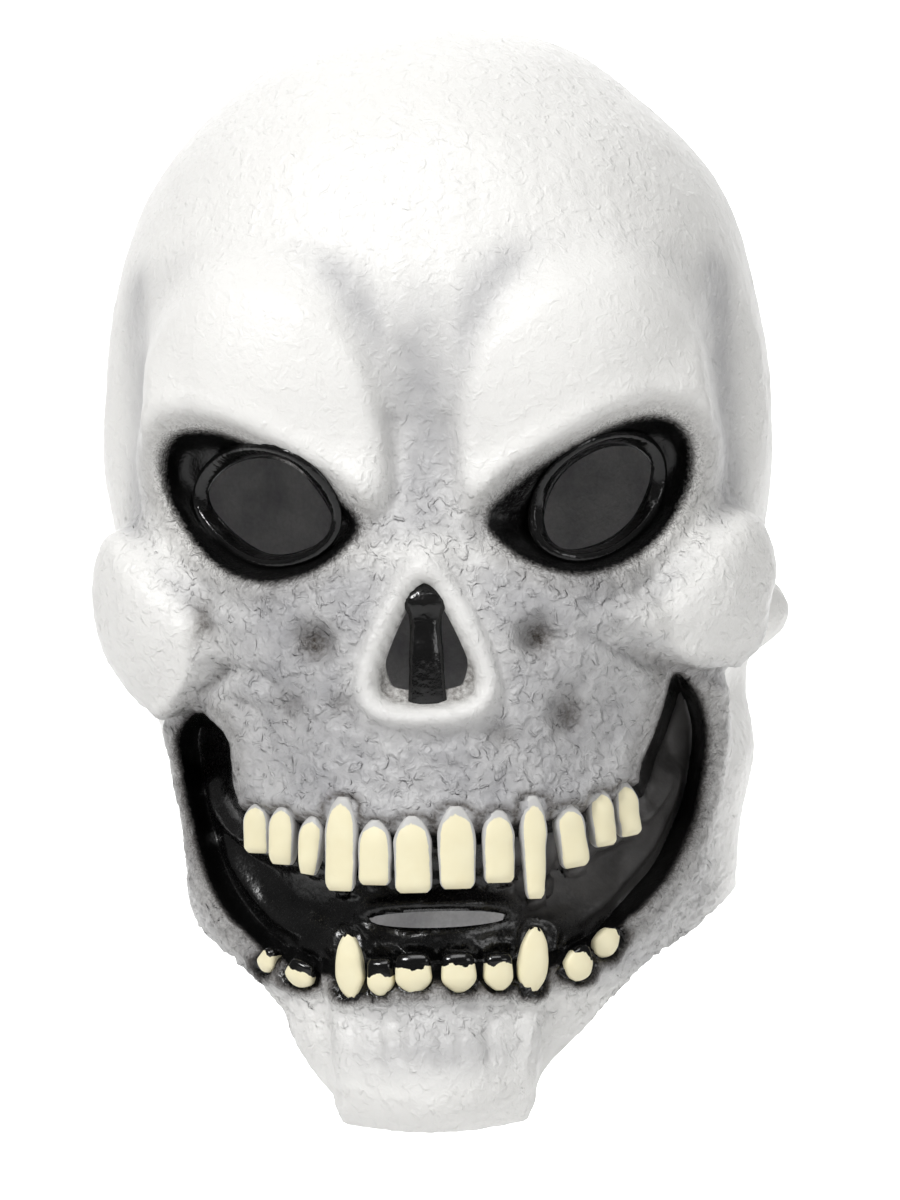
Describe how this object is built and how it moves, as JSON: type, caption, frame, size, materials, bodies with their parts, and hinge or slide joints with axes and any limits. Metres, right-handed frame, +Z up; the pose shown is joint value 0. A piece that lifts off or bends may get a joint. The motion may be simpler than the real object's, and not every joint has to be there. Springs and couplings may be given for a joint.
{
  "type": "skull mask",
  "caption": "White latex skull mask for the whole head, hollow, with open eyes and nose, a black recessed mouth with a slit and two rows of cream teeth.",
  "frame": {"origin": "inside of the crown, where the mask sits on the top of the head", "axes": "+Z up through the crown, -Y out of the face, +X to the side on the right of a view of the face"},
  "size_m": [0.1936, 0.2328, 0.2963],
  "materials": {
    "white_latex": "matt painted latex, white with grey airbrushing in the hollows and black in the eye sockets",
    "black_lining": "latex under gloss black paint",
    "black_bead": "raised latex under gloss black paint",
    "cream_tooth": "latex under satin cream paint"
  },
  "bodies": {
    "root": {"skull_shell": "white_latex", "mouth_lining": "black_lining", "eye_rim_left": "black_bead", "eye_rim_right": "black_bead", "nose_bar": "black_bead", "upper_tooth_01": "cream_tooth", "upper_tooth_02": "cream_tooth", "upper_tooth_03": "cream_tooth", "upper_tooth_04": "cream_tooth", "upper_tooth_05": "cream_tooth", "upper_tooth_06": "cream_tooth", "upper_tooth_07": "cream_tooth", "upper_tooth_08": "cream_tooth", "upper_tooth_09": "cream_tooth", "upper_tooth_10": "cream_tooth", "upper_tooth_11": "cream_tooth", "upper_tooth_12": "cream_tooth", "lower_tooth_01": "cream_tooth", "lower_tooth_02": "cream_tooth", "lower_tooth_03": "cream_tooth", "lower_tooth_04": "cream_tooth", "lower_tooth_05": "cream_tooth", "lower_tooth_06": "cream_tooth", "lower_tooth_07": "cream_tooth", "lower_tooth_08": "cream_tooth", "lower_tooth_09": "cream_tooth", "lower_tooth_10": "cream_tooth"}
  },
  "joints": []
}
